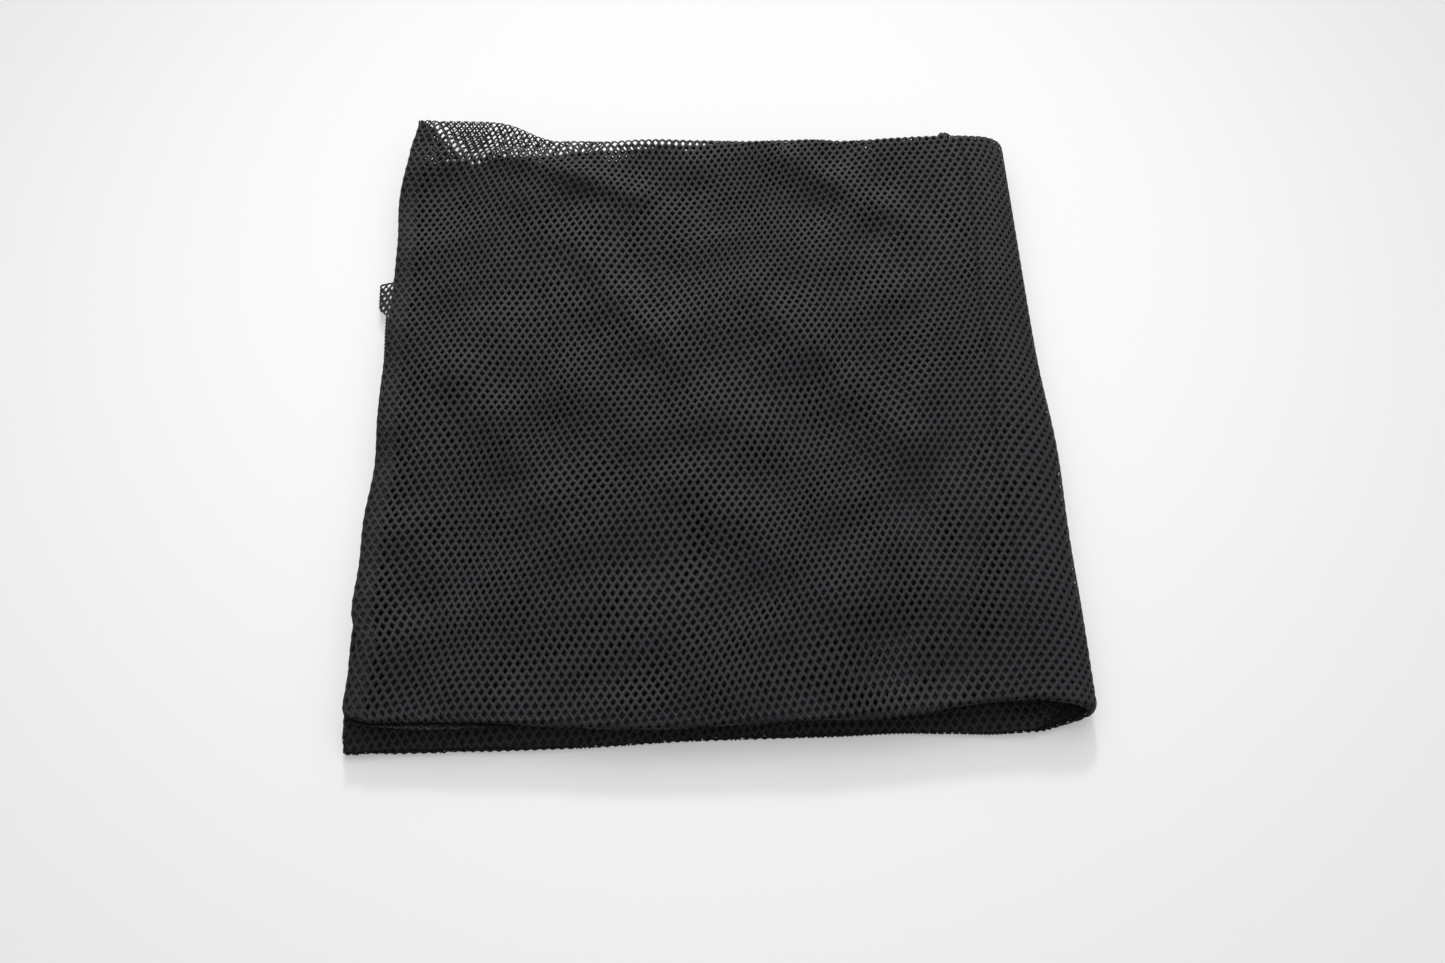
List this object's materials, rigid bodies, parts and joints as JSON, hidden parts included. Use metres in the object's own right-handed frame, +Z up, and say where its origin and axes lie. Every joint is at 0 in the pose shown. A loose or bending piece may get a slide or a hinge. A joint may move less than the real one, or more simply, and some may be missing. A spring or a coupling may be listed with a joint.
{
  "type": "mesh laundry bag",
  "caption": "Square pack of a flat mesh laundry bag, folded in thirds and then in half, with turned-in mouth hems and overlocked seams.",
  "frame": {"origin": "middle of the folded pack's footprint, on the surface that it lies on", "axes": "+X towards the book fold, +Y towards the back folds, +Z up through the plies"},
  "size_m": [0.3154, 0.318, 0.0183],
  "materials": {
    "mesh": "black warp-knit polyester mesh with hexagonal holes",
    "hem_mesh": "the same mesh, turned in and doubled",
    "seam_mesh": "the same mesh, two edges pressed together",
    "overlock_thread": "black spun polyester overlock thread",
    "sewing_thread": "black polyester lockstitch thread"
  },
  "bodies": {
    "lower_half": {"front_panel_lower": "mesh", "back_panel_lower": "mesh", "front_mouth_hem_lower": "hem_mesh", "back_mouth_hem_lower": "hem_mesh", "hem_stitching_lower": "sewing_thread", "side_seam_lower": "seam_mesh", "side_seam_thread_lower": "overlock_thread", "base_seam_lower": "seam_mesh", "base_seam_thread_lower": "overlock_thread"},
    "upper_half": {"front_panel_upper": "mesh", "back_panel_upper": "mesh", "front_mouth_hem_upper": "hem_mesh", "back_mouth_hem_upper": "hem_mesh", "hem_stitching_upper": "sewing_thread", "side_seam_upper": "seam_mesh", "side_seam_thread_upper": "overlock_thread", "base_seam_upper": "seam_mesh", "base_seam_thread_upper": "overlock_thread"}
  },
  "joints": [
    {"name": "book_fold", "type": "hinge", "parent": "lower_half", "child": "upper_half", "pos_m": [0.15775, 0, 0.00915], "axis": [0, 1, 0], "range_deg": [0, 180]}
  ]
}
